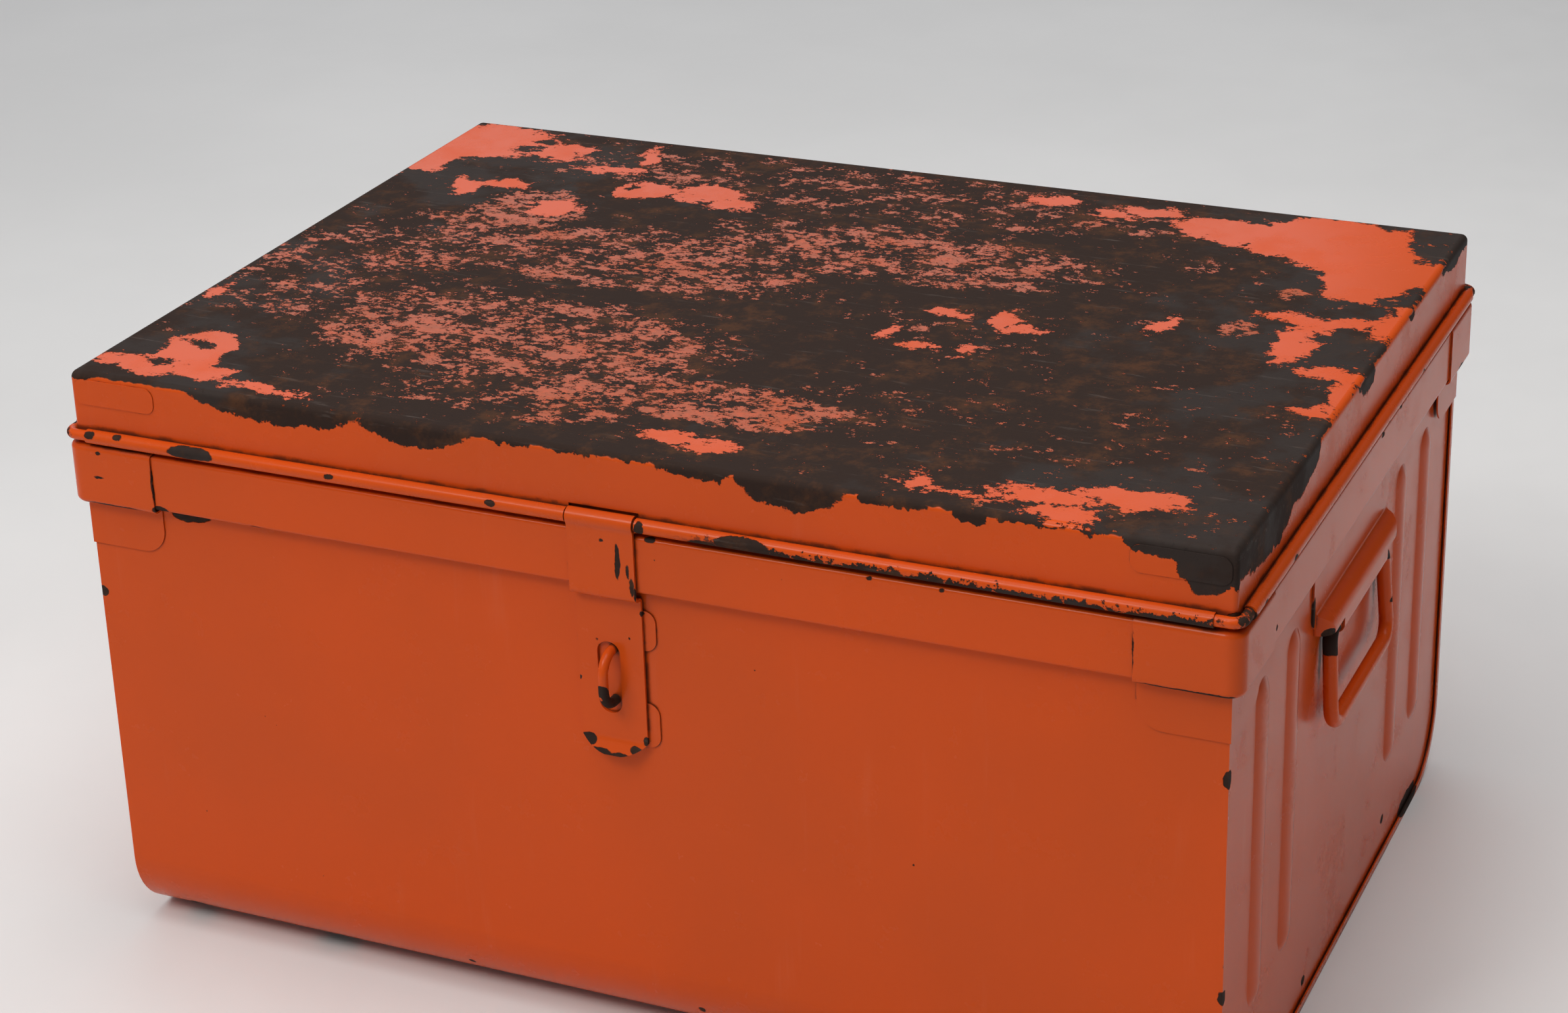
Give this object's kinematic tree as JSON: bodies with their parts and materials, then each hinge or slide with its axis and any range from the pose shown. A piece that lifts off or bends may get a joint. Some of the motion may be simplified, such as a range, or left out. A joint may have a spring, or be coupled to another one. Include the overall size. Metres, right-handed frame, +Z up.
{
  "type": "steel trunk tool box",
  "caption": "Large sheet-steel tool trunk with a wired-edge hinged lid, front hasp and padlock staple, rim band and a drop handle on each end.",
  "frame": {"origin": "centre of the flat underside, on the surface it stands on", "axes": "+X to the right along the long side, +Y from the hasp side towards the hinge side, +Z up"},
  "size_m": [0.614, 0.4442, 0.318],
  "materials": {
    "body_paint": "gloss orange enamel, chipped and scuffed",
    "lid_paint": "gloss orange enamel flaked off the top to dark bare steel",
    "fitting_paint": "gloss orange enamel worn at the edges",
    "wire_paint": "gloss orange enamel worn to dark steel where it rubs",
    "bare_wire": "dull dark oxidised wire"
  },
  "bodies": {
    "root": {"body_wrapper": "body_paint", "end_plate_left": "body_paint", "end_plate_right": "body_paint", "rim_band_front": "body_paint", "rim_band_back": "body_paint", "rim_band_left": "body_paint", "rim_band_right": "body_paint", "corner_cap_front_left": "body_paint", "corner_cap_front_right": "body_paint", "corner_cap_back_left": "body_paint", "corner_cap_back_right": "body_paint", "corner_patch_front_left": "body_paint", "corner_patch_front_right": "body_paint", "corner_patch_back_left": "body_paint", "corner_patch_back_right": "body_paint", "staple_plate": "fitting_paint", "staple_loop": "wire_paint", "handle_bracket_left": "fitting_paint", "handle_bracket_right": "fitting_paint", "hinge_strap_left": "fitting_paint", "hinge_strap_right": "fitting_paint", "hinge_rivets_left": "fitting_paint", "hinge_rivets_right": "fitting_paint"},
    "lid": {"lid_panel": "lid_paint", "lid_edge_wire": "bare_wire"},
    "hasp": {"hasp_strap": "fitting_paint"},
    "handle_left": {"handle_left": "wire_paint"},
    "handle_right": {"handle_right": "wire_paint"}
  },
  "joints": [
    {"name": "lid_hinge", "type": "hinge", "parent": "root", "child": "lid", "pos_m": [0, 0.21475, 0.2852], "axis": [-1, 0, 0], "range_deg": [0, 172]},
    {"name": "hasp_hinge", "type": "hinge", "parent": "lid", "child": "hasp", "pos_m": [-0.0049, -0.21475, 0.2852], "axis": [-1, 0, 0], "range_deg": [0, 170]},
    {"name": "handle_right_swing", "type": "hinge", "parent": "root", "child": "handle_right", "pos_m": [0.2998, 0, 0.204], "axis": [0, -1, 0], "range_deg": [-3.5, 85]},
    {"name": "handle_left_swing", "type": "hinge", "parent": "root", "child": "handle_left", "pos_m": [-0.2998, 0, 0.204], "axis": [0, 1, 0], "range_deg": [-3.5, 85]}
  ]
}
